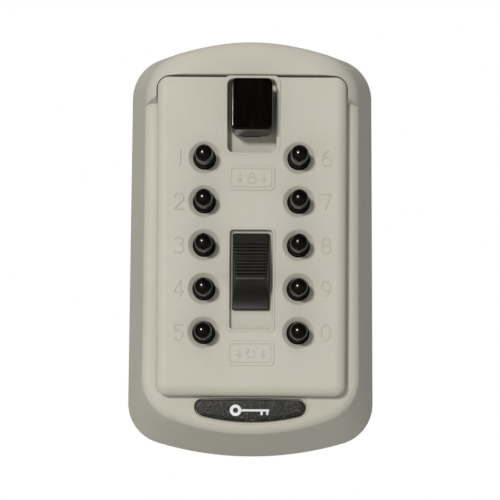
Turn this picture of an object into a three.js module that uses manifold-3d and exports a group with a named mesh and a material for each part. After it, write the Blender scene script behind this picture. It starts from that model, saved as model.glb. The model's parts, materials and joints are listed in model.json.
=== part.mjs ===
// Push-button key lock box: a die-cast wall case with a drop-down lid that carries the lock.
// Millimetres. The origin is on the back face, at the centre of the four wall screws; +Z is up
// and the front faces -Y.
import * as THREE from "three";
import { mergeVertices } from "three/addons/utils/BufferGeometryUtils.js";
import Module from "manifold-3d";

const wasm = await Module();
wasm.setup();

// Case outline at the wall, and how it draws in towards the front
const HALF_WIDTH = 32.55;
const TOP_REACH = 56.3;
const BOTTOM_REACH = 52;
const CORNER_R = 10.9;
const TOP_ARC_R = 104;
const BOTTOM_ARC_R = 87;
const SIDE_DRAFT = 0.198; // mm in per mm of depth
const TOP_DRAFT = 0.233;
const BOTTOM_DRAFT = 0.19;
const TOP_ARC_SHRINK = 1.37;
const BOTTOM_ARC_SHRINK = 1.1;
const UPWARD_TAPER = 0.0003; // share of the width lost per mm of height above the widest level
const WIDEST_Z = -40;
const WALL = 2.6;
const CASE_ROUND = 1.45;
const HOOD_ROUND = 3.5;
const HOOD_END = 33.9; // the hood's side feet stop here
const BEYOND = 60; // cutters run out this far past the object

// Planes along Y, from front to back
const LID_FACE_Y = -36; // the hood over the lid is flush with it
const CASE_FACE_Y = -31;
const LID_WALL_BACK_Y = -33.5;
const LID_CAP_BACK_Y = -31.3;
const CASE_WALL_BACK_Y = -28.2;
const SKIRT_BACK_Y = -20;
const BACK_PLATE_Y = -2.5;

// Lid
const LID_HALF_WIDTH = 22.9;
const LID_TOP = 39.8;
const LID_BOTTOM = -37.1;
const LID_CORNER_R = 2.6;
const LID_ROUND = 2.6;
const SKIRT = { half: 20.7, bottom: -34.6, top: 36.3, wall: 1.9 };
const LID_SEAT_R = 2;
const TOP_EDGE_SHARE = 0.25; // the lid's top edge is turned in less than the others
const OPENING = { half: 21.2, bottom: -35.2, top: 38.3 };
const GAP = 0.3;
const SLIDE_GAP = 0.4; // round a neck in its slot

// Lock layers along Y, each [front, back]
const FRAME_Y = [-28, -26.9];
const LATCH_Y = [-26.5, -25.5];
const CLEAR_Y = [-25.1, -24.1];
const COVER_Y = [-20.4, -19.2];
const SPRING_LANE_Y = -22.2;

// Buttons and travels
const BUTTON_X = 11.35;
const BUTTON_PITCH = 10.5;
const TOP_ROW = 20;
const BUTTON_LABELS = ["1", "2", "3", "4", "5", "6", "7", "8", "9", "0"];
const ROWS = 5;
const OPEN_DOWN = 4;
const OPEN_UP = 0.8;
const CLEAR_DOWN = 4.4;
const SHAFT_R = 1.7;
const SHAFT_CLEAR = 2.0;

// Screws
const SCREW_R = 0.9;
const SCREW_HOLE_R = 1.25;
const SCREW_HEAD = { r: 1.8, smallR: 1.7, thick: 1, slotHalf: 0.25, slotDepth: 0.45 };
const POST = { x: 16.8, top: 31.6, bottom: -30 };

// Facets
const ARC_STEPS = 6;
const CORNER_STEPS = 5;
const ROUND_STEPS = 3;
const TURNED_SEGMENTS = 12;
const SMALL_SEGMENTS = 10;
const DISH_SEGMENTS = 18;
const RECT_CORNER_STEPS = 3;
const COIL_STEPS_PER_TURN = 8;
const WIRE_SIDES = 4;

// ---------- solids ----------

// A closed geometry as a solid whose faces point out.
function solid(geometry) {
  const plain = geometry.index ? geometry.toNonIndexed() : geometry;
  const bare = new THREE.BufferGeometry();
  bare.setAttribute("position", plain.getAttribute("position"));
  const merged = mergeVertices(bare, 1e-4);
  const vertProperties = merged.attributes.position.array;
  const triVerts = new Uint32Array(merged.index.array);
  const made = new wasm.Manifold(new wasm.Mesh({ numProp: 3, vertProperties, triVerts }));
  if (made.volume() > 0) return made;
  triVerts.reverse();
  return new wasm.Manifold(new wasm.Mesh({ numProp: 3, vertProperties, triVerts }));
}

function geometryOf(made) {
  const mesh = made.getMesh();
  const geometry = new THREE.BufferGeometry();
  geometry.setAttribute("position", new THREE.BufferAttribute(mesh.vertProperties, 3));
  geometry.setIndex(new THREE.BufferAttribute(mesh.triVerts, 1));
  geometry.computeVertexNormals();
  return geometry;
}

function box([x0, x1], [y0, y1], [z0, z1]) {
  const geometry = new THREE.BoxGeometry(x1 - x0, y1 - y0, z1 - z0);
  geometry.translate((x0 + x1) / 2, (y0 + y1) / 2, (z0 + z1) / 2);
  return solid(geometry);
}

// A body turned about an axis along Y at (x, z); the profile is [radius, y] from axis to axis.
function turned(profile, x, z, segments = TURNED_SEGMENTS) {
  const points = profile.map(([r, y]) => new THREE.Vector2(r, y));
  const geometry = new THREE.LatheGeometry(points, segments);
  geometry.translate(x, 0, z);
  return solid(geometry);
}

function rod(radius, [y0, y1], x, z, segments = TURNED_SEGMENTS) {
  return turned([[0, y0], [radius, y0], [radius, y1], [0, y1]], x, z, segments);
}

// A skin through equal rings of [x, y, z] points, closed by a fan at both ends.
function loft(rings) {
  const count = rings[0].length;
  const points = rings.flat();
  const index = [];
  for (let r = 0; r + 1 < rings.length; r++) {
    for (let i = 0; i < count; i++) {
      const a = r * count + i;
      const b = r * count + ((i + 1) % count);
      index.push(a, b, b + count, a, b + count, a + count);
    }
  }
  const last = (rings.length - 1) * count;
  for (let i = 1; i + 1 < count; i++) {
    index.push(0, i + 1, i);
    index.push(last, last + i, last + i + 1);
  }
  const geometry = new THREE.BufferGeometry();
  geometry.setAttribute("position", new THREE.Float32BufferAttribute(points.flat(), 3));
  geometry.setIndex(index);
  return solid(geometry);
}

// Half of a crowned end: from the middle of an arc, round a corner, to the straight side.
function crown(half, corner, radius, peak) {
  const cornerX = half - corner;
  const rise = Math.sqrt((radius - corner) ** 2 - cornerX ** 2);
  const turn = Math.atan2(cornerX, rise);
  const points = [];
  for (let i = 0; i < ARC_STEPS; i++) {
    const a = (turn * i) / ARC_STEPS;
    points.push([radius * Math.sin(a), peak - radius + radius * Math.cos(a)]);
  }
  for (let i = 0; i <= CORNER_STEPS; i++) {
    const a = turn + ((Math.PI / 2 - turn) * i) / CORNER_STEPS;
    points.push([cornerX + corner * Math.sin(a), peak - radius + rise + corner * Math.cos(a)]);
  }
  return points;
}

// A closed outline of [x, z] points from the crowns of its top and bottom right quarters.
function crownedOutline(top, bottom) {
  return [
    ...top,
    ...[...bottom].reverse().map(([x, z]) => [x, -z]),
    ...bottom.slice(1).map(([x, z]) => [-x, -z]),
    ...[...top.slice(1)].reverse().map(([x, z]) => [-x, z]),
  ];
}

// The case's outer section at a depth in front of the wall, moved in by an inset.
function caseRing(depth, inset = 0) {
  const half = HALF_WIDTH - SIDE_DRAFT * depth - inset;
  const corner = CORNER_R - inset;
  const topR = TOP_ARC_R - TOP_ARC_SHRINK * depth - inset;
  const bottomR = BOTTOM_ARC_R - BOTTOM_ARC_SHRINK * depth - inset;
  const top = crown(half, corner, topR, TOP_REACH - TOP_DRAFT * depth - inset);
  const bottom = crown(half, corner, bottomR, BOTTOM_REACH - BOTTOM_DRAFT * depth - inset);
  const taper = (z) => 1 - UPWARD_TAPER * Math.max(0, z - WIDEST_Z);
  return crownedOutline(top, bottom).map(([x, z]) => [x * taper(z), -depth, z]);
}

function caseLoft(backDepth, frontDepth, round) {
  const rings = [caseRing(backDepth), caseRing(frontDepth - round)];
  for (let i = 1; i <= ROUND_STEPS; i++) {
    const a = (Math.PI / 2) * (i / ROUND_STEPS);
    rings.push(caseRing(frontDepth - round * (1 - Math.sin(a)), round * (1 - Math.cos(a))));
  }
  return loft(rings);
}

// A rounded rectangle of [x, y, z] points in the plane y.
function rectRing([x0, x1], [z0, z1], radius, y) {
  const points = [];
  const corners = [[x1, z1, 0], [x1, z0, 1], [x0, z0, 2], [x0, z1, 3]];
  for (const [cx, cz, quarter] of corners) {
    const x = cx > (x0 + x1) / 2 ? cx - radius : cx + radius;
    const z = cz > (z0 + z1) / 2 ? cz - radius : cz + radius;
    for (let i = 0; i <= RECT_CORNER_STEPS; i++) {
      const a = (Math.PI / 2) * (quarter + i / RECT_CORNER_STEPS);
      points.push([x + radius * Math.sin(a), y, z + radius * Math.cos(a)]);
    }
  }
  return points;
}

// ---------- springs ----------

class Coil extends THREE.Curve {
  constructor(radius, start, end, turns) {
    super();
    Object.assign(this, { radius, start, end, turns });
  }
  getPoint(t) {
    const a = 2 * Math.PI * this.turns * t;
    const along = this.start + (this.end - this.start) * t;
    return new THREE.Vector3(this.radius * Math.cos(a), along, this.radius * Math.sin(a));
  }
}

// A compression spring along Y, centred on the origin of X and Z.
function coilSpring(meanR, wireR, [y0, y1], turns) {
  const wire = new THREE.Shape();
  for (let i = 0; i < WIRE_SIDES; i++) {
    const a = (2 * Math.PI * i) / WIRE_SIDES;
    const at = [wireR * Math.cos(a), wireR * Math.sin(a)];
    if (i === 0) wire.moveTo(...at);
    else wire.lineTo(...at);
  }
  const extrudePath = new Coil(meanR, y0 + wireR, y1 - wireR, turns);
  const steps = Math.round(turns * COIL_STEPS_PER_TURN);
  return new THREE.ExtrudeGeometry(wire, { steps, extrudePath, bevelEnabled: false });
}

// ---------- places of the buttons ----------

const buttons = BUTTON_LABELS.map((label, i) => ({
  label,
  x: i < ROWS ? -BUTTON_X : BUTTON_X,
  z: TOP_ROW - BUTTON_PITCH * (i % ROWS),
}));
const posts = [-POST.x, POST.x].flatMap((x) => [POST.top, POST.bottom].map((z) => ({ x, z })));

function cutAll(body, tools) {
  return tools.reduce((made, tool) => made.subtract(tool), body);
}

function joinAll(body, pieces) {
  return pieces.reduce((made, piece) => made.add(piece), body);
}

// ---------- case ----------

const BADGE = {
  y: [-31.25, -30.4],
  half: 13.35,
  top: -37.9,
  topEnd: 1.7,
  topArc: 400,
  bottom: -43.3,
  end: 2.3,
  arc: 50,
  margin: 0.35,
};
const WALL_SCREWS = { x: 15, z: 32, r: 2.5, straightY: -0.8, sinkR: 4.6, sinkY: -3 };
const STRIKE = { half: 9, z: [38, 44.6], y: [-27.8, -26.9], screwX: 6, screwZ: 41.9 };
const STRIKE_SCREW = { headFrontY: -26.6, tipY: -30.8, holeEndY: -31.5 };

function badgeOutline(grow, y) {
  const top = crown(BADGE.half + grow, BADGE.topEnd + grow, BADGE.topArc, BADGE.top + grow);
  const peak = -BADGE.bottom + grow;
  const bottom = crown(BADGE.half + grow, BADGE.end + grow, BADGE.arc + grow, peak);
  return crownedOutline(top, bottom).map(([x, z]) => [x, y, z]);
}

function makeBadge() {
  return loft(BADGE.y.map((y) => badgeOutline(0, y)));
}

function makeCase() {
  const body = caseLoft(0, -CASE_FACE_Y, CASE_ROUND);
  // The hood goes on from the body's last section before its front edge turns in.
  const hood = caseLoft(-CASE_FACE_Y - CASE_ROUND, -LID_FACE_Y, HOOD_ROUND).intersect(
    box([-BEYOND, BEYOND], [-BEYOND, 0], [HOOD_END, BEYOND]),
  );
  const seatHalf = LID_HALF_WIDTH + GAP;
  const lidSeat = loft(
    [-BEYOND, CASE_FACE_Y].map((y) =>
      rectRing([-seatHalf, seatHalf], [0, LID_TOP + GAP], LID_SEAT_R, y),
    ),
  );
  const cavity = loft([caseRing(-BACK_PLATE_Y, WALL), caseRing(-CASE_WALL_BACK_Y, WALL)]);
  const opening = box(
    [-OPENING.half, OPENING.half],
    [CASE_FACE_Y - 6, CASE_WALL_BACK_Y + 3],
    [OPENING.bottom, OPENING.top],
  );
  const badgeSeat = loft([-BEYOND, BADGE.y[1] + GAP].map((y) => badgeOutline(BADGE.margin, y)));
  const { x, z, r, straightY, sinkR, sinkY } = WALL_SCREWS;
  const screwProfile = [[0, 1], [r, 1], [r, straightY], [sinkR, sinkY], [0, sinkY]];
  const wallScrews = [-x, x].flatMap((sx) => [-z, z].map((sz) => turned(screwProfile, sx, sz)));
  const strikeHoleY = [STRIKE_SCREW.holeEndY, CASE_WALL_BACK_Y + 1];
  const strikeHoles = [-1, 1].map((side) =>
    rod(SCREW_HOLE_R, strikeHoleY, side * STRIKE.screwX, STRIKE.screwZ, SMALL_SEGMENTS),
  );
  return cutAll(body.add(hood), [lidSeat, cavity, opening, badgeSeat, ...wallScrews, ...strikeHoles]);
}

function makeStrikePlate() {
  const plate = box([-STRIKE.half, STRIKE.half], STRIKE.y, STRIKE.z);
  const holes = [-1, 1].map((side) =>
    rod(SCREW_HOLE_R, through(STRIKE.y), side * STRIKE.screwX, STRIKE.screwZ, SMALL_SEGMENTS),
  );
  return cutAll(plate, holes);
}

// A pan-head screw driven from behind: its head starts at headFront, its shank ends at tip.
function screw(x, z, headFront, tip, headR = SCREW_HEAD.r) {
  const headBack = headFront + SCREW_HEAD.thick;
  const profile = [
    [0, tip], [SCREW_R * 0.6, tip], [SCREW_R, tip + 0.5], [SCREW_R, headFront],
    [headR, headFront], [headR, headFront + 0.5], [headR * 0.75, headBack], [0, headBack],
  ];
  const { slotHalf, slotDepth } = SCREW_HEAD;
  const slotY = [headBack - slotDepth, headBack + 1];
  const slot = box([x - headR - 1, x + headR + 1], slotY, [z - slotHalf, z + slotHalf]);
  return turned(profile, x, z, SMALL_SEGMENTS).subtract(slot);
}

// ---------- lid ----------

const OPEN_WELL = { half: 5.85, z: [21.25, 38.9], floorY: -32.7 };
const CLEAR_WELL = { half: 5.3, z: [-21.3, 2.8], floorY: -34.7 };
const WELL_BLOCK = { half: 7.3, y: [-34, -31.2], bottom: 19.8 }; // the metal behind the open well
const OPEN_NECK = { half: 2, z: [29.9, 33.1] };
const CLEAR_NECK = { half: 2, z: [-10, -6] };
const TONGUE = { half: 3.5, bottom: 30, top: 37.6, slotHalf: 4 };
const TOE = { x: 12, half: 3, y: [-27.5, -25.5], bottom: -38.5 };
const BOSS = { innerX: 15, half: 1.9, holeEndY: -31 };
const PILLAR_HALF = 1.8;
const DISH = { r: 3.75, floorR: 3, depth: 0.7, holeR: 2.75 };

// The span of a cutter that runs right through a plate.
function through([front, back]) {
  return [front - 1, back + 1];
}

// The space a neck sweeps as it slides, with clearance.
function neckSlot(neck, up, down, y) {
  const side = neck.half + SLIDE_GAP;
  return box([-side, side], y, [neck.z[0] - down - SLIDE_GAP, neck.z[1] + up + SLIDE_GAP]);
}

function screwHole(x, z, y) {
  return rod(SCREW_HOLE_R, y, x, z, SMALL_SEGMENTS);
}

// A span from the middle line's side of a post out to an outer face.
function reachOut(x, outer) {
  return [Math.sign(x) * BOSS.innerX, Math.sign(x) * outer].sort((a, b) => a - b);
}

function makeLid() {
  const capX = [-LID_HALF_WIDTH, LID_HALF_WIDTH];
  const rings = [rectRing(capX, [LID_BOTTOM, LID_TOP], LID_CORNER_R, LID_CAP_BACK_Y)];
  for (let i = 0; i <= ROUND_STEPS; i++) {
    const a = (Math.PI / 2) * (i / ROUND_STEPS);
    const inset = LID_ROUND * (1 - Math.cos(a));
    const half = LID_HALF_WIDTH - inset;
    const topInset = inset * TOP_EDGE_SHARE;
    const y = LID_FACE_Y + LID_ROUND * (1 - Math.sin(a));
    rings.push(rectRing([-half, half], [LID_BOTTOM + inset, LID_TOP - topInset], LID_CORNER_R, y));
  }
  const inside = SKIRT.half - SKIRT.wall;
  const skirtY = [LID_CAP_BACK_Y - 0.7, SKIRT_BACK_Y];
  const skirt = box([-SKIRT.half, SKIRT.half], skirtY, [SKIRT.bottom, SKIRT.top]);
  const pocketZ = [SKIRT.bottom + SKIRT.wall, SKIRT.top - SKIRT.wall];
  const pocket = box([-inside, inside], [LID_WALL_BACK_Y, SKIRT_BACK_Y + 1], pocketZ);
  const blockX = [-WELL_BLOCK.half, WELL_BLOCK.half];
  const wellBlock = box(blockX, WELL_BLOCK.y, [WELL_BLOCK.bottom, SKIRT.top - 0.5]);
  const bossY = [WELL_BLOCK.y[0], FRAME_Y[0] - GAP];
  const bosses = posts.map(({ x, z }) =>
    box(reachOut(x, inside + 0.3), bossY, [z - BOSS.half, z + BOSS.half]),
  );
  const toes = [-1, 1].map((side) => {
    const reach = [side * TOE.x - TOE.half, side * TOE.x + TOE.half];
    return box(reach, TOE.y, [TOE.bottom, SKIRT.bottom + 1]);
  });
  const holes = buttons.map(({ x, z }) => {
    const floor = LID_FACE_Y + DISH.depth;
    const profile = [
      [0, LID_FACE_Y - 2], [DISH.r, LID_FACE_Y - 2], [DISH.r, LID_FACE_Y], [DISH.floorR, floor],
      [DISH.holeR, floor], [DISH.holeR, LID_WALL_BACK_Y + 0.5], [0, LID_WALL_BACK_Y + 0.5],
    ];
    return turned(profile, x, z, DISH_SEGMENTS);
  });
  const wells = [OPEN_WELL, CLEAR_WELL].map(({ half, z, floorY }) =>
    box([-half, half], [LID_FACE_Y - 4, floorY], z),
  );
  const neckY = [LID_FACE_Y, WELL_BLOCK.y[1] + 1.2];
  const tongueSlot = box(
    [-TONGUE.slotHalf, TONGUE.slotHalf],
    [LATCH_Y[0] - 0.5, LATCH_Y[1] + 0.5],
    [SKIRT.top - SKIRT.wall - 1, SKIRT.top + 1],
  );
  const screwHoles = posts.map(({ x, z }) => screwHole(x, z, [BOSS.holeEndY, bossY[1] + 1]));
  const shell = joinAll(loft(rings), [skirt]).subtract(pocket);
  const built = joinAll(shell, [wellBlock, ...bosses, ...toes]);
  return cutAll(built, [
    ...wells,
    neckSlot(OPEN_NECK, OPEN_UP, OPEN_DOWN, neckY),
    neckSlot(CLEAR_NECK, 0, CLEAR_DOWN, neckY),
    tongueSlot,
    ...holes,
    ...screwHoles,
  ]);
}

const PLATE_HALF = 18.3;
const PLATE_Z = [-32.4, 34];

function makeLockFrame() {
  const plate = box([-PLATE_HALF, PLATE_HALF], FRAME_Y, PLATE_Z);
  const y = through(FRAME_Y);
  return cutAll(plate, [
    ...buttons.map(({ x, z }) => rod(SHAFT_CLEAR, y, x, z)),
    ...posts.map(({ x, z }) => screwHole(x, z, y)),
    neckSlot(OPEN_NECK, OPEN_UP, OPEN_DOWN, y),
    neckSlot(CLEAR_NECK, 0, CLEAR_DOWN, y),
  ]);
}

const SPRING_SEAT = { half: 1.6, y: [-23.6, COVER_Y[0] + 0.4], tall: 1.4 };
const LATCH_SPRING = { x: 0, z: [13.3, 22.3] };
const CLEAR_SPRING = { x: 5, z: [-11.7, -2.3] };

function makeLockCover() {
  const plate = box([-PLATE_HALF, PLATE_HALF], COVER_Y, PLATE_Z);
  const pillarY = [FRAME_Y[1] + GAP, COVER_Y[0] + 0.4];
  const pillars = posts.map(({ x, z }) =>
    box(reachOut(x, PLATE_HALF), pillarY, [z - PILLAR_HALF, z + PILLAR_HALF]),
  );
  const { half, y, tall } = SPRING_SEAT;
  const seats = [LATCH_SPRING, CLEAR_SPRING].map(({ x, z }) =>
    box([x - half, x + half], y, [z[0] - GAP - tall, z[0] - GAP]),
  );
  return cutAll(joinAll(plate, [...pillars, ...seats]), [
    ...buttons.map(({ x, z }) => rod(SHAFT_CLEAR, through(COVER_Y), x, z)),
    ...posts.map(({ x, z }) => screwHole(x, z, through([pillarY[0], COVER_Y[1]]))),
  ]);
}

// ---------- latch and clear slides ----------

const SLIDE_HALF = 14.5;
const LATCH_SCREW = { headFrontY: -25.2, tipY: -31 };
const CLEAR_SCREW = { headFrontY: -23.8, tipY: -29.5 };
const LATCH_PLATE_Z = [-28.4, 32.4];
const CLEAR_PLATE_Z = [-26.2, 28];
const TAB_BACK_Y = -20.9; // the tabs that the springs push on reach back to here
const TAB_HALF = 1.6;
const TAB_THICK = 1;
const CLEAR_NOTCH = { half: 7.4, bottom: 18 }; // lets the open neck pass the clear plate

// Slots that let every code shaft pass while a plate travels up or down past them.
function shaftSlots(up, down, y) {
  return buttons.map(({ x, z }) =>
    box([x - SHAFT_CLEAR, x + SHAFT_CLEAR], y, [z - up - SHAFT_CLEAR, z + down + SHAFT_CLEAR]),
  );
}

// The tab at the top of a slide's spring, reaching back from its plate.
function springTab({ x, z }, plateY) {
  const bottom = z[1] + GAP;
  const y = [middle(plateY), TAB_BACK_Y];
  return box([x - TAB_HALF, x + TAB_HALF], y, [bottom, bottom + TAB_THICK]);
}

function makeLatchPlate() {
  const y = through(LATCH_Y);
  const plate = box([-SLIDE_HALF, SLIDE_HALF], LATCH_Y, LATCH_PLATE_Z);
  const tongue = box([-TONGUE.half, TONGUE.half], LATCH_Y, [TONGUE.bottom, TONGUE.top]);
  return cutAll(joinAll(plate, [tongue, springTab(LATCH_SPRING, LATCH_Y)]), [
    ...shaftSlots(OPEN_UP, OPEN_DOWN, y),
    neckSlot(CLEAR_NECK, OPEN_DOWN, CLEAR_DOWN + OPEN_UP, y),
    screwHole(0, middle(OPEN_NECK.z), y),
  ]);
}

function middle([low, high]) {
  return (low + high) / 2;
}

const OPEN_THUMB = { half: 4.9, z: [25.7, 37.85], cornerR: 1, faceY: -41.5 };
// How the block's front edge turns in, as [inset, height left to the face]
const THUMB_EDGE = [[0.05, 0.7], [0.25, 0.2], [0.7, 0]];
const NECK_ROOT_Y = -34; // the open neck starts inside its block here

function makeOpenThumb() {
  const { half, z, cornerR, faceY } = OPEN_THUMB;
  const base = rectRing([-half, half], z, cornerR, OPEN_WELL.floorY - GAP);
  const front = THUMB_EDGE.map(([inset, left]) =>
    rectRing([inset - half, half - inset], [z[0] + inset, z[1] - inset], cornerR - inset / 2, faceY + left),
  );
  const neckX = [-OPEN_NECK.half, OPEN_NECK.half];
  const neck = box(neckX, [NECK_ROOT_Y, LATCH_Y[0] - GAP], OPEN_NECK.z);
  const hole = screwHole(0, middle(OPEN_NECK.z), [LATCH_SCREW.tipY - 0.5, LATCH_Y[0]]);
  return loft([base, ...front]).add(neck).subtract(hole);
}

function makeClearPlate() {
  const y = through(CLEAR_Y);
  const plate = box([-SLIDE_HALF, SLIDE_HALF], CLEAR_Y, CLEAR_PLATE_Z);
  const notchX = [-CLEAR_NOTCH.half, CLEAR_NOTCH.half];
  return cutAll(plate.add(springTab(CLEAR_SPRING, CLEAR_Y)), [
    ...shaftSlots(0, CLEAR_DOWN, y),
    box(notchX, y, [CLEAR_NOTCH.bottom, BEYOND]),
    screwHole(0, middle(CLEAR_NECK.z), y),
  ]);
}

// The clear thumb's side view as [z, y] points: a ramp from the top, a crest, and a hollow below
const CLEAR_THUMB = {
  bottom: -16.6,
  top: 1.7,
  edgeY: -35.9,
  crest: [[-10.2, -40.2], [-9.1, -40.3]],
  hollow: [-11.5, -36.7],
  ramp: [-4.5, -37.2],
  half: [4.55, 3.8], // at the seat and at the crest
};

function makeClearThumb() {
  const seat = CLEAR_WELL.floorY - GAP;
  const side = new THREE.Shape();
  const { bottom, top, edgeY, crest, hollow, ramp, half } = CLEAR_THUMB;
  side.moveTo(bottom, seat);
  side.lineTo(bottom, edgeY);
  side.quadraticCurveTo(...hollow, ...crest[0]);
  side.lineTo(...crest[1]);
  side.quadraticCurveTo(...ramp, top, edgeY);
  side.lineTo(top, seat);
  const extruded = new THREE.ExtrudeGeometry(side, {
    depth: 10,
    bevelEnabled: false,
    curveSegments: 5,
  });
  // The profile is drawn as (z, y); this turns it upright and centres it across X.
  extruded.applyMatrix4(
    new THREE.Matrix4().set(0, 0, 1, -5, 0, 1, 0, 0, 1, 0, 0, 0, 0, 0, 0, 1),
  );
  const taperZ = [bottom - GAP, top + GAP];
  const taper = loft([
    rectRing([-half[0], half[0]], taperZ, 0.3, seat + 1),
    rectRing([-half[1], half[1]], taperZ, 0.3, crest[1][1] - 0.7),
  ]);
  const neckX = [-CLEAR_NECK.half, CLEAR_NECK.half];
  const neck = box(neckX, [seat - 0.2, CLEAR_Y[0] - GAP], CLEAR_NECK.z);
  const hole = screwHole(0, middle(CLEAR_NECK.z), [CLEAR_SCREW.tipY - 0.5, CLEAR_Y[0] + 0.1]);
  return solid(extruded).intersect(taper).add(neck).subtract(hole);
}

// ---------- buttons ----------

const BUTTON = {
  hubR: 1.9,
  hubBackY: -30.9,
  flangeR: 3.3,
  flangeY: [-33.1, -32.2],
  baseR: 2.4,
  baseY: -36.3,
  stepR: 2.2,
  stepY: -36.5,
  boreY: -34.5,
  domeY: -41.5,
  domeR: 1.9,
  domeSteps: 3,
};
const CODE_SHAFT = { pinR: 1.1, pinFrontY: -34.1, frontY: -30.6, backY: -17.6 };
const GATE_Z = [0.6, 3]; // above the shaft's axis
const DRIVER_SLOT = { half: 0.35, depth: 0.8 };

function makeButton(x, z) {
  const { hubR, hubBackY, flangeR, flangeY, baseR, baseY, stepR, stepY, boreY, domeY, domeR } = BUTTON;
  const profile = [
    [0, hubBackY], [hubR, hubBackY], [hubR, flangeY[1]], [flangeR, flangeY[1]],
    [flangeR, flangeY[0]], [baseR, flangeY[0]], [baseR, baseY], [stepR, stepY], [domeR, domeY],
  ];
  for (let i = 1; i < BUTTON.domeSteps; i++) {
    const a = (Math.PI / 2) * (i / BUTTON.domeSteps);
    profile.push([domeR * Math.cos(a), domeY - domeR * Math.sin(a)]);
  }
  profile.push([0, domeY - domeR]);
  const bore = rod(CODE_SHAFT.pinR + 0.35, [boreY, hubBackY + 1], x, z, SMALL_SEGMENTS);
  return turned(profile, x, z).subtract(bore);
}

function makeCodeShaft(x, z) {
  const { pinR, pinFrontY, frontY, backY } = CODE_SHAFT;
  const profile = [
    [0, pinFrontY], [pinR, pinFrontY], [pinR, frontY],
    [SHAFT_R, frontY], [SHAFT_R, backY], [0, backY],
  ];
  // The gate: a half-round cut that the latch plate can pass only when it is turned the right way.
  const across = [x - 3, x + 3];
  const gateY = [LATCH_Y[0] - 0.4, LATCH_Y[1] + 0.3];
  const gate = box(across, gateY, [z + GATE_Z[0], z + GATE_Z[1]]);
  const { half, depth } = DRIVER_SLOT;
  const driverSlot = box(across, [backY - depth, backY + 1], [z - half, z + half]);
  return cutAll(turned(profile, x, z, SMALL_SEGMENTS), [gate, driverSlot]);
}

// ---------- assembly ----------

const FINISHES = {
  clay: { color: 0xb9b7ab, roughness: 0.62, metalness: 0.1 },
  black: { color: 0x12110f, roughness: 0.25, metalness: 0 },
  charcoal: { color: 0x33322e, roughness: 0.5, metalness: 0 },
  badge: { color: 0x3b3b38, roughness: 0.4, metalness: 0.2 },
  steel: { color: 0x9a9b9c, roughness: 0.35, metalness: 1 },
  zinc: { color: 0xa6a7a4, roughness: 0.45, metalness: 0.9 },
  brass: { color: 0xb59a52, roughness: 0.35, metalness: 1 },
};

function part(name, finish, geometry) {
  const material = new THREE.MeshStandardMaterial(FINISHES[finish]);
  const mesh = new THREE.Mesh(geometry, material);
  mesh.name = name;
  return mesh;
}

function cut(name, finish, made) {
  return part(name, finish, geometryOf(made));
}

const SLIDE_COIL = { r: 1.1, wire: 0.25, turns: 6 };
const BUTTON_COIL = { r: 2.35, wire: 0.2, turns: 2.75, y: [-31.9, -28.3] };

function makeSlideSpring(name, { x, z }) {
  const mesh = part(name, "steel", coilSpring(SLIDE_COIL.r, SLIDE_COIL.wire, z, SLIDE_COIL.turns));
  mesh.rotation.x = Math.PI / 2;
  mesh.position.set(x, SPRING_LANE_Y, 0);
  return mesh;
}

const caseGroup = new THREE.Group();
caseGroup.add(
  cut("case_body", "clay", makeCase()),
  cut("badge", "badge", makeBadge()),
  cut("strike_plate", "steel", makeStrikePlate()),
  ...[["left", -1], ["right", 1]].map(([side, sign]) => {
    const { headFrontY, tipY } = STRIKE_SCREW;
    const made = screw(sign * STRIKE.screwX, STRIKE.screwZ, headFrontY, tipY);
    return cut(`strike_screw_${side}`, "steel", made);
  }),
);

function slideScrew(neck, { headFrontY, tipY }) {
  return screw(0, middle(neck.z), headFrontY, tipY, SCREW_HEAD.smallR);
}

const latchGroup = new THREE.Group();
latchGroup.add(
  cut("open_thumb", "black", makeOpenThumb()),
  cut("latch_plate", "steel", makeLatchPlate()),
  cut("latch_screw", "steel", slideScrew(OPEN_NECK, LATCH_SCREW)),
  makeSlideSpring("latch_spring", LATCH_SPRING),
);

const clearGroup = new THREE.Group();
clearGroup.add(
  cut("clear_thumb", "charcoal", makeClearThumb()),
  cut("clear_plate", "steel", makeClearPlate()),
  cut("clear_screw", "steel", slideScrew(CLEAR_NECK, CLEAR_SCREW)),
  makeSlideSpring("clear_spring", CLEAR_SPRING),
);

const lidGroup = new THREE.Group();
lidGroup.add(
  cut("lid_shell", "clay", makeLid()),
  cut("lock_frame", "zinc", makeLockFrame()),
  cut("lock_cover", "zinc", makeLockCover()),
  latchGroup,
  clearGroup,
);
const COVER_SCREW = { headFrontY: -18.9, tipY: -30.5 };
for (const { x, z } of posts) {
  const name = `cover_screw_${z > 0 ? "top" : "bottom"}_${x < 0 ? "left" : "right"}`;
  lidGroup.add(cut(name, "steel", screw(x, z, COVER_SCREW.headFrontY, COVER_SCREW.tipY)));
}
for (const { label, x, z } of buttons) {
  const group = new THREE.Group();
  const { r, wire, turns, y } = BUTTON_COIL;
  const spring = part(`button_spring_${label}`, "steel", coilSpring(r, wire, y, turns));
  spring.position.set(x, 0, z);
  group.add(
    cut(`button_${label}`, "black", makeButton(x, z)),
    spring,
    cut(`code_shaft_${label}`, "brass", makeCodeShaft(x, z)),
  );
  lidGroup.add(group);
}

const keyLockBox = new THREE.Group();
keyLockBox.add(caseGroup, lidGroup);

export default keyLockBox;
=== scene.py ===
"""Looks of a push-button key lock box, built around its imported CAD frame.

Shapes are drawn in millimetres in the CAD frame and turned into metres when they become meshes.
The origin is on the back face, at the centre of the wall screws; +Z is up and the front faces -Y.
"""

import json
from math import atan2, copysign, cos, pi, radians, sin, sqrt

import bmesh
import bpy
from mathutils import Matrix, Vector


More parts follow.
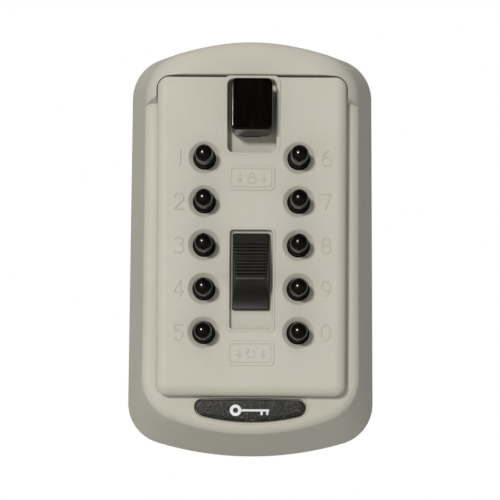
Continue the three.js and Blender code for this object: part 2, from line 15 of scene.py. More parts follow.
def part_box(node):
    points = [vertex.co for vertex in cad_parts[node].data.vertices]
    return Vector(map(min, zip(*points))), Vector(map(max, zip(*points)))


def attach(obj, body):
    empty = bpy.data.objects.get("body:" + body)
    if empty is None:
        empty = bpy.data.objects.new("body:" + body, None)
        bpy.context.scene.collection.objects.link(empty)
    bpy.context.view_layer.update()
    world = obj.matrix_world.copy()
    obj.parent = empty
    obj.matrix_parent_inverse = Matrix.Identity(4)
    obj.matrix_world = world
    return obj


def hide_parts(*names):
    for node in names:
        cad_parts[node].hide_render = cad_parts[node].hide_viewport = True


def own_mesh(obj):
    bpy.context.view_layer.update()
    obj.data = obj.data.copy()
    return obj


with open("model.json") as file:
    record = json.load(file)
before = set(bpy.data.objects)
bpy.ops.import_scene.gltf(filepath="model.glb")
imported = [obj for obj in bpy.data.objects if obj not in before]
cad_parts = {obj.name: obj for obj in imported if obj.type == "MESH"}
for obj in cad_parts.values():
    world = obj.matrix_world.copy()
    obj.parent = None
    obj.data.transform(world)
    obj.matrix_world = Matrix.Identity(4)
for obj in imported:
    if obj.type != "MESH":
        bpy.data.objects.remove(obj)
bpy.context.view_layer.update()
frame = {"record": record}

MM = 0.001
BEYOND = 20  # cutters run out this far past the piece they cut
SCENE = bpy.context.scene
BODY_OF = {n: body for body, nodes in frame["record"]["behaviour"]["bodies"].items() for n in nodes}


def span(node):
    """A CAD node's box in millimetres, as three (low, high) pairs."""
    low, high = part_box(node)
    return [(low[i] / MM, high[i] / MM) for i in range(3)]


def middle(pair):
    """The middle of a (low, high) pair."""
    return (pair[0] + pair[1]) / 2


def about(centre, half):
    """A (low, high) pair about a centre."""
    return (centre - half, centre + half)


# ---------- driving dimensions ----------

CASE_X, _, CASE_Z = span("case_body")
LID_X, LID_Y, LID_Z = span("lid_shell")
FACE_Y = LID_Y[0]  # the lid's face; the hood is flush with it
CASE_FACE_Y = -31
CASE_WALL_BACK_Y = -28.2
BACK_PLATE_Y = -2.5
LID_BACK_Y = -31.3
LID_WALL_BACK_Y = -33.5
GAP = 0.3  # between a thumb and the floor of its well
SEAM = 0.22  # round the lid in its seat

# The case's outline, and how it draws in towards the front, per mm of depth
CORNER_R = 10.9
TOP_ARC_R, TOP_ARC_SHRINK, TOP_DRAFT = 104, 1.37, 0.233
BOTTOM_ARC_R, BOTTOM_ARC_SHRINK, BOTTOM_DRAFT = 87, 1.1, 0.19
SIDE_DRAFT = 0.198
UPWARD_TAPER, WIDEST_Z = 0.0003, -40
WALL = 2.6
CASE_ROUND, CASE_BACK_ROUND = 2.0, 0.5
HOOD_ROUND = 3.5
HOOD_SIDE_ROUND = 7.0
HOOD_END_Z = 33.9
HOOD_LIP = 0.35
FOOT_DEEP, FOOT_TALL, FOOT_STEPS = 7.4, 4.6, 16  # how the hood's feet turn back at their lower ends
WALL_SCREW_X, WALL_SCREW_Z = 15, 32
STRIKE_SCREW_Z = 41.9

LID_BOTTOM_Z, LID_TOP_Z = -37.1, LID_Z[1]
LID_ROUND = 2.6
LID_TOP_ROUND = 0.7
LID_CORNER_R = 2.6
SEAT_CORNER_R = 2.9
SKIRT_X, SKIRT_Z, SKIRT_WALL = (-20.7, 20.7), (-34.6, 36.3), 1.9
INSIDE_X, INSIDE_Z = [(low + SKIRT_WALL, high - SKIRT_WALL) for low, high in (SKIRT_X, SKIRT_Z)]
OPENING_X, OPENING_Z = (-21.2, 21.2), (-35.2, 38.3)

BUTTONS = "1234567890"
OPEN_DOWN, OPEN_UP, CLEAR_DOWN = 4, 0.8, 4.4
OPEN_WELL_X, OPEN_WELL_Z, OPEN_WELL_Y = (-5.9, 5.9), (21.25, 38.85), -32.7
CLEAR_WELL_X, CLEAR_WELL_Z, CLEAR_WELL_Y = (-5.15, 5.15), (-21.2, 2.7), -34.7
OPEN_NECK_X, OPEN_NECK_Z = (-2, 2), (29.9, 33.1)
CLEAR_NECK_X, CLEAR_NECK_Z = (-2, 2), (-10, -6)
NECK_GAP = 0.12
LABELS_Z = {"open": (12.15, 18.1), "clear": (-29.95, -24.0)}
LABEL_X = (-5.64, 5.64)
LABEL_HEIGHT = 0.2

# The badge, the raised rim round it and the seat it lies in
BADGE_HALF = 13.35
BADGE_TOP_CORNER, BADGE_TOP_ARC_R, BADGE_TOP_Z = 1.6, 400, -37.9
BADGE_BOTTOM_CORNER, BADGE_BOTTOM_ARC_R, BADGE_BOTTOM_Z = 2.3, 50, -43.3
BADGE_RIM, BADGE_RIM_OUT, BADGE_RIM_ROUND = 0.22, 0.75, 0.16
BADGE_SEAT_OUT, BADGE_SEAT_Y = 0.35, -30.1
BADGE_KEY_Z = -40.55

# The lock behind the lid
POSTS = [(x, z) for x in (-16.8, 16.8) for z in (31.6, -30)]
BUTTON_AT = {n: (middle(span("button_" + n)[0]), middle(span("button_" + n)[2])) for n in BUTTONS}
SLOT_X, SLOT_GAP = (-2.4, 2.4), 0.4  # the plates' slots round the necks, and how long they are cut
SCREW_BORE_R, SCREW_PASS_R, BUTTON_PASS_R = 1.0, 1.25, 2.0
PLATE_X = (-14.5, 14.5)
LATCH_Y, CLEAR_Y = (-26.5, -25.5), (-25.1, -24.1)


# ---------- meshes ----------

def piece_from(name, points, faces):
    """A mesh object from points in millimetres, with its faces turned outwards."""
    mesh = bpy.data.meshes.new(name)
    mesh.from_pydata([Vector(p) * MM for p in points], [], faces)
    work = bmesh.new()
    work.from_mesh(mesh)
    bmesh.ops.recalc_face_normals(work, faces=work.faces)
    if work.calc_volume(signed=True) < 0:
        bmesh.ops.reverse_faces(work, faces=work.faces)
    work.to_mesh(mesh)
    work.free()
    piece = bpy.data.objects.new(name, mesh)
    SCENE.collection.objects.link(piece)
    return piece


def loft(name, rings, closed=False):
    """A skin through equal rings of points, capped at both ends unless it closes on itself."""
    count = len(rings[0])
    faces = []
    for r in range(len(rings) if closed else len(rings) - 1):
        after = (r + 1) % len(rings)
        for i in range(count):
            j = (i + 1) % count
            faces.append((r * count + i, r * count + j, after * count + j, after * count + i))
    if not closed:
        faces.append(tuple(range(count)))
        faces.append(tuple((len(rings) - 1) * count + i for i in range(count)))
    return piece_from(name, [p for ring in rings for p in ring], faces)


def turned(name, profile, x=0, z=0, steps=48):
    """A body turned about an axis along Y at (x, z). The profile is [radius, y] from axis to axis."""
    points, faces, rows = [], [], []
    for radius, y in profile:
        if radius == 0:
            rows.append([len(points)] * steps)
            points.append((x, y, z))
            continue
        rows.append([len(points) + i for i in range(steps)])
        for i in range(steps):
            a = 2 * pi * i / steps
            points.append((x + radius * sin(a), y, z + radius * cos(a)))
    for a, b in zip(rows, rows[1:]):
        for i in range(steps):
            j = (i + 1) % steps
            corners = list(dict.fromkeys((a[i], a[j], b[j], b[i])))
            if len(corners) > 2:
                faces.append(corners)
    return piece_from(name, points, faces)


def round_corner(x, y, radius, start, stop, steps=6):
    """Points of an arc about (x, y), in degrees, both ends included."""
    angles = [radians(start + (stop - start) * i / steps) for i in range(steps + 1)]
    return [(x + radius * cos(a), y + radius * sin(a)) for a in angles]


def rectangle(x, z, radius, y, grow=0, steps=8):
    """A rounded rectangle of points in the plane y, moved out by grow."""
    radius = max(radius + grow, 0.02)
    points = []
    for px, pz, start in ((x[1], z[1], 0), (x[0], z[1], 90), (x[0], z[0], 180), (x[1], z[0], 270)):
        cx = px + (grow - radius if px == x[1] else radius - grow)
        cz = pz + (grow - radius if pz == z[1] else radius - grow)
        points += [(a, y, b) for a, b in round_corner(cx, cz, radius, start, start + 90, steps)]
    return points


def rounding(radius, steps=6):
    """Pairs of (inset, height left to the face) that turn a wall into a face through a quarter circle."""
    angles = [pi / 2 * i / steps for i in range(steps + 1)]
    return [(radius * (1 - cos(a)), radius * (1 - sin(a))) for a in angles]


def block(name, x, y, z, radius=0.6, edge=0.2, steps=3):
    """A slab with rounded corners, its front and back edges rounded over by edge."""
    front = [rectangle(x, z, radius, y[0] + left, -inset) for inset, left in rounding(edge, steps)]
    back = [rectangle(x, z, radius, y[1] - left, -inset) for inset, left in rounding(edge, steps)]
    return loft(name, front[::-1] + back)


def through(y, lip):
    """Pairs of (y, growth) for a hole through a plate of thickness y, with its rims broken by lip."""
    front, back = y
    pairs = [(front - BEYOND, lip), (front, lip), (front + lip, 0)]
    return pairs + [(back - lip, 0), (back, lip), (back + BEYOND, lip)]


def opening(name, x, y, z, radius=0.4, lip=0.12):
    """A cutter for a rounded square hole through a plate of thickness y."""
    return loft(name, [rectangle(x, z, radius, at, grow) for at, grow in through(y, lip)])


def bore(name, radius, y, x, z, lip=0.12, steps=32):
    """A cutter for a round hole through a plate of thickness y."""
    wall = [(radius + grow, at) for at, grow in through(y, lip)]
    return turned(name, [(0, wall[0][1])] + wall + [(0, wall[-1][1])], x, z, steps)


def blind_bore(name, radius, y, x, z, lip=0.12, steps=32):
    """A round cutter for a blind hole from its drilled end, y[0], back to its mouth, y[1]."""
    end, mouth = y
    profile = [(0, end - radius / 3), (radius, end), (radius, mouth - lip)]
    profile += [(radius + lip, mouth), (radius + lip, mouth + BEYOND), (0, mouth + BEYOND)]
    return turned(name, profile, x, z, steps)


def well(name, outline, face, floor, lip, foot):
    """A cutter for a well sunk from face to floor: outline(y, grow) is its ring, lip rounds its rim
    and foot its floor."""
    rings = [outline(face - BEYOND, lip)]
    rings += [outline(face + inset, left) for inset, left in rounding(lip)]
    rings += [outline(floor - left, -inset) for inset, left in rounding(foot)]
    return loft(name, rings)


def worm(name, path, half_width, half_height, y, closed=False, sides=10):
    """A rounded stroke along a path of (x, z) points, half sunk in the plane y."""
    points = [Vector(p) for p in path]
    rings = []
    count = len(points)

    def ring(centre, along, share, shift=0.0):
        across = Vector((along.y, -along.x))
        centre = centre + along * shift
        out = []
        for i in range(sides):
            a = 2 * pi * i / sides
            spot = centre + across * (half_width * share * cos(a))
            out.append((spot.x, y + half_height * share * sin(a), spot.y))
        return out

    for i, point in enumerate(points):
        before = points[i - 1] if closed or i else point
        after = points[(i + 1) % count] if closed or i + 1 < count else point
        rings.append(ring(point, (after - before).normalized(), 1))
    if not closed:
        first = (points[0] - points[1]).normalized()
        last = (points[-1] - points[-2]).normalized()
        turns = [radians(a) for a in (35, 65, 88)]
        start = [ring(points[0], first, cos(a), half_width * sin(a)) for a in turns]
        end = [ring(points[-1], last, cos(a), half_width * sin(a)) for a in turns]
        # The start's rings face the other way, so they are mirrored to run the same way round.
        start = [[r[(sides // 2 - i) % sides] for i in range(sides)] for r in start]
        rings = start[::-1] + rings + end
    return loft(name, rings, closed)


def bake(piece):
    """Applies a piece's modifiers to its mesh."""
    shown = piece.evaluated_get(bpy.context.evaluated_depsgraph_get())
    mesh = bpy.data.meshes.new_from_object(shown)
    piece.modifiers.clear()
    piece.data = mesh
    return piece


def combine(piece, operation, tools):
    """Applies one boolean after another to a piece, and removes the tools."""
    for tool in tools:
        step = piece.modifiers.new(operation.lower(), "BOOLEAN")
        step.solver = "MANIFOLD"
        step.operation = operation
        step.object = tool
    bake(piece)
    for tool in tools:
        bpy.data.objects.remove(tool)
    return piece


def cut(piece, *tools):
    return combine(piece, "DIFFERENCE", tools)


def join(piece, *tools):
    return combine(piece, "UNION", tools)


def smooth(piece, degrees=32):
    """Smooth shading that keeps flat faces flat and creases sharp."""
    mesh = piece.data
    mesh.shade_smooth()
    mesh.set_sharp_from_angle(angle=radians(degrees))
    weigh = piece.modifiers.new("weighted_normals", "WEIGHTED_NORMAL")
    weigh.keep_sharp = True
    return piece


def place(piece, node, material, replaced=True):
    """Finishes a piece: it rides on its CAD node's body and takes its slot, and may stand for the node."""
    piece.data.materials.clear()
    piece.data.materials.append(material)
    smooth(piece)
    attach(piece, BODY_OF[node])
    if replaced:
        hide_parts(node)
    return piece


# ---------- materials ----------

class NodeTree:
    """Adds nodes to a tree, their inputs set or linked by name or index."""

    def __init__(self, tree):
        self.tree = tree

    def set(self, node, inputs):
        for key, value in inputs.items():
            socket = node.inputs[key]
            if isinstance(value, bpy.types.NodeSocket):
                self.tree.links.new(value, socket)
            else:
                socket.default_value = value

    def add(self, kind, inputs=None, **settings):
        node = self.tree.nodes.new(kind)
        for key, value in settings.items():
            setattr(node, key, value)
        self.set(node, inputs or {})
        return node

    def spread(self, value, low, high, out_low=0.0, out_high=1.0, **settings):
        """Maps value from low..high to out_low..out_high, clamped."""
        inputs = {"Value": value, "From Min": low, "From Max": high}
        inputs.update({"To Min": out_low, "To Max": out_high})
        return self.add("ShaderNodeMapRange", inputs, **settings).outputs["Result"]

    def mix(self, share, first, second):
        """A colour between two; the sockets of a colour mix share their names, so they go by index."""
        return self.add("ShaderNodeMix", {0: share, 6: first, 7: second}, data_type="RGBA").outputs[2]


class Shader(NodeTree):
    """The node tree of one procedural material on a Principled surface."""

    def __init__(self, name, **inputs):
        self.material = bpy.data.materials.new(name)
        self.material.use_nodes = True
        super().__init__(self.material.node_tree)
        self.surface = self.tree.nodes["Principled BSDF"]
        self.place = self.add("ShaderNodeTexCoord").outputs["Object"]
        self.set(self.surface, inputs)

    def stretched(self, x, y, z):
        """The object's coordinates, scaled along each axis."""
        scale = {"Vector": self.place, "Scale": (x, y, z)}
        return self.add("ShaderNodeMapping", scale).outputs["Vector"]

    def noise(self, per_metre, detail=2.0, roughness=0.5, place=None):
        inputs = {"Vector": place or self.place, "Scale": per_metre}
        inputs.update({"Detail": detail, "Roughness": roughness})
        return self.add("ShaderNodeTexNoise", inputs).outputs["Fac"]

    def cells(self, per_metre, output="Distance"):
        inputs = {"Vector": self.place, "Scale": per_metre}
        return self.add("ShaderNodeTexVoronoi", inputs).outputs[output]

    def finish(self, **inputs):
        """Sets the surface's inputs, named with _ for a space, and returns the material."""
        self.set(self.surface, {key.replace("_", " "): value for key, value in inputs.items()})
        return self.material

    def bump(self, height, depth_mm, below=None):
        inputs = {"Height": height, "Distance": depth_mm * MM, "Strength": 1.0}
        if below is not None:
            inputs["Normal"] = below
        return self.add("ShaderNodeBump", inputs).outputs["Normal"]

    def hollow(self, reach_mm):
        """How open each spot is: 1 in the open, towards 0 deep in a corner."""
        node = self.add("ShaderNodeAmbientOcclusion", {"Distance": reach_mm * MM}, samples=4)
        return node.outputs["AO"]


def tone(red, green, blue):
    return (red, green, blue, 1.0)


def make_clay_paint():
    """Satin powder coat: fine orange peel, faint mottling and painted shade that darkens its corners and
    hollows.
    """
    s = Shader("clay_paint")
    mottle = s.spread(s.noise(60, 4), 0.3, 0.7)
    grain = s.spread(s.noise(2600, 3), 0.35, 0.65)
    base = s.mix(mottle, tone(0.505, 0.488, 0.418), tone(0.53, 0.512, 0.445))
    base = s.mix(s.spread(grain, 0, 1, 0, 0.1), base, tone(0.42, 0.405, 0.345))
    # Painted shade: the paint is darkened towards brown-grey where ambient occlusion finds a corner or
    # hollow.
    painted_corner_shade = s.spread(s.hollow(1.2), 0.25, 0.75, 0.3, 0.0)
    base = s.mix(painted_corner_shade, base, tone(0.3, 0.275, 0.215))
    peel = s.bump(s.noise(1100, 2), 0.03)
    return s.finish(
        Base_Color=base,
        Roughness=s.spread(s.noise(900, 3), 0.3, 0.7, 0.48, 0.62),
        Specular_IOR_Level=0.35,
        Normal=s.bump(grain, 0.012, peel),
    )


def make_gloss_black():
    """Polished black moulding with faint scuffs and a hint of waviness."""
    s = Shader("gloss_black")
    scuffs = s.noise(500, 5, 0.6, s.stretched(1.0, 1.0, 0.2))
    return s.finish(
        Base_Color=s.mix(s.noise(90, 3), tone(0.0008, 0.0006, 0.0004), tone(0.0016, 0.0012, 0.0008)),
        Roughness=s.spread(scuffs, 0.45, 0.8, 0.1, 0.17),
        IOR=1.5,
        Normal=s.bump(s.noise(140, 2), 0.012),
    )


def make_button_black():
    """Glossy black button with fingertip wear on the dome and fine moulding texture."""
    s = Shader("button_black")
    return s.finish(
        Base_Color=s.mix(s.noise(400, 3), tone(0.002, 0.0018, 0.0015), tone(0.0045, 0.004, 0.0033)),
        Roughness=s.spread(s.noise(1500, 4), 0.35, 0.7, 0.13, 0.27),
        IOR=1.5,
        Normal=s.bump(s.noise(900, 3), 0.008),
    )


def make_charcoal():
    """Semi-matt charcoal moulding, polished where a thumb rubs it, with fine spark texture."""
    s = Shader("charcoal_plastic")
    spark = s.noise(2800, 3, 0.6)
    rub = s.spread(s.noise(220, 4), 0.35, 0.75)
    return s.finish(
        Base_Color=s.mix(rub, tone(0.01, 0.0092, 0.0072), tone(0.019, 0.0175, 0.0145)),
        Roughness=s.spread(rub, 0, 1, 0.42, 0.28),
        Normal=s.bump(spark, 0.02),
    )


def make_badge_foil():
    """Near-black stipple with pale flakes caught in it."""
    s = Shader("badge_foil")
    flakes = s.cells(2300, output="Color")
    bright = s.add("ShaderNodeSeparateColor", {"Color": flakes}).outputs["Red"]
    fine = s.noise(3000, 2, 0.6)
    base = s.mix(s.spread(fine, 0.35, 0.7), tone(0.002, 0.002, 0.0019), tone(0.008, 0.008, 0.0076))
    base = s.mix(s.spread(bright, 0.78, 1.0, 0.0, 0.6), base, tone(0.11, 0.11, 0.105))
    return s.finish(
        Base_Color=base,
        Roughness=s.spread(bright, 0, 1, 0.42, 0.62),
        Normal=s.bump(s.cells(2300), 0.05),
    )


def make_badge_mark():
    """Pale foil of the badge's pictogram, lightly brushed."""
    s = Shader("badge_mark", Metallic=0.25)
    brushed = s.noise(1200, 3, 0.5, s.stretched(0.08, 1, 1))
    return s.finish(
        Base_Color=s.mix(brushed, tone(0.66, 0.68, 0.7), tone(0.78, 0.8, 0.82)),
        Roughness=s.spread(brushed, 0.3, 0.7, 0.34, 0.5),
        Normal=s.bump(brushed, 0.006),
    )


def make_metal(name, low, high, grain, rough, stretch=(1, 1, 1)):
    """A worked metal: mottled between two tones, with grain drawn out along its working direction and
    painted shade in its hollows.
    """
    s = Shader(name, Metallic=1.0)
    lines = s.noise(grain, 5, 0.6, s.stretched(*stretch))
    base = s.mix(s.spread(s.noise(130, 5, 0.6), 0.3, 0.7), tone(*low), tone(*high))
    # Painted shade: the metal is darkened towards near-black where ambient occlusion finds a hollow.
    shade = s.spread(s.hollow(0.8), 0.2, 0.8, 0.45, 0.0)
    return s.finish(
        Base_Color=s.mix(shade, base, tone(0.05, 0.045, 0.04)),
        Roughness=s.spread(lines, 0.3, 0.7, rough[0], rough[1]),
        Normal=s.bump(lines, 0.008),
    )


def make_floor_finish():
    """A pale matt floor, darker where glossy parts mirror it."""
    s = Shader("studio_floor", Roughness=0.8)
    mirrored = s.add("ShaderNodeLightPath").outputs["Is Glossy Ray"]
    pale = s.mix(s.noise(4, 3), tone(0.78, 0.78, 0.77), tone(0.82, 0.82, 0.81))
    return s.finish(
        Base_Color=s.mix(mirrored, pale, tone(0.1, 0.098, 0.09)),
        Normal=s.bump(s.noise(220, 3), 0.05),
    )


CLAY = make_clay_paint()
GLOSS = make_gloss_black()
BUTTON_BLACK = make_button_black()
CHARCOAL = make_charcoal()
FOIL = make_badge_foil()
MARK = make_badge_mark()
PLATED = make_metal("plated_steel", (0.5, 0.5, 0.47), (0.64, 0.64, 0.61), 900, (0.32, 0.5), (0.05, 1, 1))
SCREW = make_metal("screw_steel", (0.5, 0.5, 0.5), (0.62, 0.62, 0.62), 1500, (0.22, 0.4))
SPRING = make_metal("spring_steel", (0.4, 0.4, 0.41), (0.52, 0.52, 0.53), 2000, (0.25, 0.38))
BRASS = make_metal("shaft_brass", (0.6, 0.44, 0.18), (0.72, 0.56, 0.27), 1800, (0.2, 0.38), (1, 0.05, 1))


# ---------- case ----------

def crown(half, corner, radius, peak, arc_steps=24, corner_steps=14):
    """Half of a crowned end: from the middle of an arc, round a corner, to the straight side."""
    corner_x = half - corner
    rise = sqrt((radius - corner) ** 2 - corner_x ** 2)
    turn = atan2(corner_x, rise)
    points = []
    for i in range(arc_steps):
        a = turn * i / arc_steps
        points.append((radius * sin(a), peak - radius + radius * cos(a)))
    for i in range(corner_steps + 1):
        a = turn + (pi / 2 - turn) * i / corner_steps
        points.append((corner_x + corner * sin(a), peak - radius + rise + corner * cos(a)))
    return points


def crowned_outline(top, bottom):
    """A closed outline of (x, z) points from the crowns of its top and bottom right quarters."""
    right = top + [(x, -z) for x, z in reversed(bottom)]
    left = [(-x, -z) for x, z in bottom[1:]] + [(-x, z) for x, z in reversed(top[1:])]
    return right + left


def case_ring(depth, inset=0):
    """The case's outer section at a depth in front of the wall, moved in by an inset."""
    half = CASE_X[1] - SIDE_DRAFT * depth - inset
    corner = CORNER_R - inset
    top_r = TOP_ARC_R - TOP_ARC_SHRINK * depth - inset
    bottom_r = BOTTOM_ARC_R - BOTTOM_ARC_SHRINK * depth - inset
    top = crown(half, corner, top_r, CASE_Z[1] - TOP_DRAFT * depth - inset)
    bottom = crown(half, corner, bottom_r, -CASE_Z[0] - BOTTOM_DRAFT * depth - inset)
    ring = []
    for x, z in crowned_outline(top, bottom):
        taper = 1 - UPWARD_TAPER * max(0, z - WIDEST_Z)
        ring.append((x * taper, -depth, z))
    return ring


def quarter(r, left):
    """How far a rounding of a radius is inset where a depth of it is left."""
    return 0.0 if left >= r else r - sqrt(r * r - (r - left) ** 2)


def make_hood():
    """The part of the case that stands forward over the lid's top, with its two side feet."""
    rings = [case_ring(-CASE_FACE_Y - CASE_ROUND)]
    for inset, left in rounding(HOOD_SIDE_ROUND, 20):
        top_inset = quarter(HOOD_ROUND, left)
        outline = case_ring(-FACE_Y - left, top_inset)
        half = max(x for x, _, _ in outline)
        narrow = (half - (inset - top_inset)) / half
        rings.append([(x * narrow, y, z) for x, y, z in outline])
    hood = loft("hood", rings)

    foot_z, above_z = HOOD_END_Z + FOOT_TALL, CASE_Z[1] + BEYOND
    inside_y, wide = -10, 60
    side = [(FACE_Y - BEYOND, foot_z), (FACE_Y - 1, foot_z)]
    turn = rounding(1, FOOT_STEPS)
    side += [(FACE_Y + FOOT_DEEP * inset, HOOD_END_Z + FOOT_TALL * left) for inset, left in turn]
    side += [(inside_y, HOOD_END_Z), (inside_y, above_z), (FACE_Y - BEYOND, above_z)]
    keep = loft("keep", [[(x, y, z) for y, z in side] for x in (-wide, wide)])
    return combine(hood, "INTERSECT", [keep])


def badge_outline(y, grow):
    """The badge's outline in the plane y, moved out by grow: almost flat on top and bowed below."""
    half = BADGE_HALF + grow
    top = crown(half, BADGE_TOP_CORNER + grow, BADGE_TOP_ARC_R, BADGE_TOP_Z + grow, 20, 10)
    bottom_arc_r = BADGE_BOTTOM_ARC_R + grow
    bottom = crown(half, BADGE_BOTTOM_CORNER + grow, bottom_arc_r, -BADGE_BOTTOM_Z + grow, 20, 10)
    return [(x, y, z) for x, z in crowned_outline(top, bottom)]


def case_seat():
    """A cutter for the lid's seat, sunk in the hood to the case's face, its rim broken by HOOD_LIP."""
    x = (LID_X[0] - SEAM, LID_X[1] + SEAM)
    z = (HOOD_END_Z - 6, LID_TOP_Z + SEAM)
    steps = [(FACE_Y - BEYOND, HOOD_LIP)]
    steps += [(FACE_Y + inset, left) for inset, left in rounding(HOOD_LIP, 8)]
    steps.append((CASE_FACE_Y + 0.02, 0))
    return loft("seat", [rectangle(x, z, SEAT_CORNER_R, y, grow) for y, grow in steps])


def case_cavity():
    """A cutter for the hollow of the case, eased where it meets the back plate and the front wall."""
    steps = [(-BACK_PLATE_Y, WALL + 1.2), (3.0, WALL + 0.5), (4.2, WALL)]
    steps += [(-CASE_WALL_BACK_Y - 0.8, WALL), (-CASE_WALL_BACK_Y, WALL + 0.6)]
    return loft("cavity", [case_ring(depth, inset) for depth, inset in steps])


def wall_holes():
    """Cutters for the countersunk holes of the four wall screws."""
    back_r, hole_r, head_r = 2.9, 2.5, 4.7
    profile = [(0, 1), (back_r, 1), (back_r, 0), (hole_r, -0.3), (hole_r, -0.8)]
    profile += [(head_r - 0.3, -2.2), (head_r, BACK_PLATE_Y), (head_r, -4), (0, -4)]
    places = [(x, z) for x in (-WALL_SCREW_X, WALL_SCREW_X) for z in (-WALL_SCREW_Z, WALL_SCREW_Z)]
    return [turned("wall_hole", profile, x, z) for x, z in places]


def strike_screw_places():
    side = middle(span("strike_screw_right")[0])
    return [(sign * side, STRIKE_SCREW_Z) for sign in (-1, 1)]


def make_case():
    """The case: a drafted shell with its hood, the badge's rim and seat, and the screws' holes."""
    back = [case_ring(left, inset) for inset, left in reversed(rounding(CASE_BACK_ROUND, 3))]
    front = [case_ring(-CASE_FACE_Y - left, inset) for inset, left in rounding(CASE_ROUND, 10)]
    case = loft("case_casting", back + front)
    rim_y = CASE_FACE_Y - BADGE_RIM
    rim = [(CASE_FACE_Y + 1, 0)] + [(rim_y + left, inset) for inset, left in rounding(BADGE_RIM_ROUND, 4)]
    rim = [badge_outline(y, BADGE_RIM_OUT - inset) for y, inset in rim]
    join(case, make_hood(), loft("badge_rim", rim))

    mouth = opening("mouth", OPENING_X, (CASE_FACE_Y, CASE_WALL_BACK_Y), OPENING_Z, 1.6, 0.3)
    badge_seat = well("badge_seat", lambda y, grow: badge_outline(y, BADGE_SEAT_OUT + grow),
                      rim_y, BADGE_SEAT_Y, 0.15, 0.1)
    strike_y = (-31.2, CASE_WALL_BACK_Y)
    strike_holes = [blind_bore("strike_hole", 1.1, strike_y, x, z) for x, z in strike_screw_places()]
    return cut(case, case_seat(), case_cavity(), mouth, badge_seat, *wall_holes(), *strike_holes)


# ---------- lid ----------

def line(*points):
    """An open stroke through points."""
    return list(points), False


def digit_strokes(label):
    """The strokes of a digit, as (points, closed), about 2.4 mm wide and 3.7 mm tall."""
    def bend(x, z, rx, rz, start, stop, steps=18, *rest):
        arc = round_corner(0, 0, 1, start, stop, steps)
        return [(x + rx * a, z + rz * b) for a, b in arc] + list(rest), False

    def loop(x, z, rx, rz):
        return bend(x, z, rx, rz, 0, 350, 35)[0], True

    six = [loop(0, -0.75, 1.1, 1.1), bend(1.0, -0.75, 2.1, 2.6, 180, 108, 12)]
    strokes = {
        "0": [loop(0, 0, 1.1, 1.85)],
        "1": [line((0.3, -1.85), (0.3, 0), (0.3, 1.85))],
        "2": [bend(0, 0.8, 1.1, 1.05, 165, -38, 14, (-1.15, -1.8)), line((-1.15, -1.85), (1.2, -1.85))],
        "3": [bend(0, 0.95, 0.95, 0.9, 150, -90), bend(0, -0.9, 1.15, 0.95, 90, -150)],
        "4": [line((0.45, 1.85), (-1.15, -0.7)), line((-1.15, -0.7), (1.2, -0.7)),
              line((0.5, 1.85), (0.5, -1.85))],
        "5": [line((1.0, 1.85), (-0.8, 1.85)), line((-0.8, 1.85), (-0.95, 0.1)),
              bend(-0.05, -0.65, 1.15, 1.2, 140, -145, 20)],
        "6": six,
        "7": [line((-1.15, 1.85), (1.15, 1.85)), line((1.15, 1.85), (-0.25, -1.85))],
        "8": [loop(0, 0.95, 0.9, 0.9), loop(0, -0.87, 1.1, 0.98)],
        "9": [([(-x, -z) for x, z in points], closed) for points, closed in six],
    }
    return strokes[label]


def arrow_strokes():
    """An arrow pointing down, 2 mm tall."""
    return [line((0, 1.0), (0, -0.95)), line((-0.6, -0.3), (0, -1.0)), line((0.6, -0.3), (0, -1.0))]


def open_padlock_strokes():
    """A padlock whose shackle stands open on its left."""
    body = [(x, z) for x, _, z in rectangle((-0.95, 0.95), (-1.2, 0.1), 0.25, 0)]
    shackle = [(0.55, 0.1), (0.55, 0.6)] + round_corner(0, 0.6, 0.55, 20, 180, 12)
    return [(body, True), line(*shackle)]


def reset_strokes():
    """A round arrow: three quarters of a circle and its head."""
    head = [line((-0.5, 0.87), (-0.62, 0.2)), line((-0.5, 0.87), (-1.15, 0.95))]
    return [line(*round_corner(0, 0, 1.0, 40, -240, 26))] + head


def emboss(strokes, x, z, y, half_width=0.2, half_height=0.2, size=1.0):
    """Raised strokes about (x, z) in the plane y, as pieces to be joined on."""
    pieces = []
    for path, closed in strokes:
        moved = [(x + size * px, z + size * pz) for px, pz in path]
        pieces.append(worm("stroke", moved, half_width, half_height, y, closed))
    return pieces


def make_tablet(name, x, z, radius, height):
    """A raised pad on the lid's face; height(z) may change from bottom to top."""
    sunk_y, edge = -34.0, 0.2
    rings = [rectangle(x, z, radius, sunk_y)]
    for inset, left in rounding(edge, 4):
        ring = rectangle(x, z, radius, 0, -inset)
        rings.append([(px, FACE_Y - height(pz) + left, pz) for px, _, pz in ring])
    return loft(name, rings)


def lid_ring(y, inset, top_inset):
    """The lid's outline in the plane y, moved in by top_inset at its top and by inset elsewhere."""
    corner = max(LID_CORNER_R - 0.9 * inset, 0.45)
    x = (LID_X[0] + inset, LID_X[1] - inset)
    return rectangle(x, (LID_BOTTOM_Z + inset, LID_TOP_Z - top_inset), corner, y, steps=10)


def lid_pads():
    """The raised rims of the two wells and the two label tablets."""
    foot_z = 20.6
    open_pad_z = (foot_z, LID_TOP_Z - 0.1)
    pads = [
        make_tablet("open_rim", (-6.85, 6.85), open_pad_z, 1.7, lambda z: 0.06 + 0.018 * (z - foot_z)),
        make_tablet("clear_rim", (-5.75, 5.75), (-21.85, 3.35), 1.2, lambda z: 0.2),
    ]
    for name, z in LABELS_Z.items():
        pads.append(make_tablet(f"{name}_label", LABEL_X, z, 1.1, lambda z: LABEL_HEIGHT))
    return pads


def lid_pocket():
    """A cutter for the hollow inside the skirt, with its floor and its mouth eased."""
    ease = 0.3
    steps = [(LID_WALL_BACK_Y, -ease), (LID_WALL_BACK_Y + ease, 0), (LID_Y[1] - ease, 0)]
    steps += [(LID_Y[1], ease), (LID_Y[1] + 3, ease)]
    return loft("pocket", [rectangle(INSIDE_X, INSIDE_Z, 0.8, y, grow) for y, grow in steps])


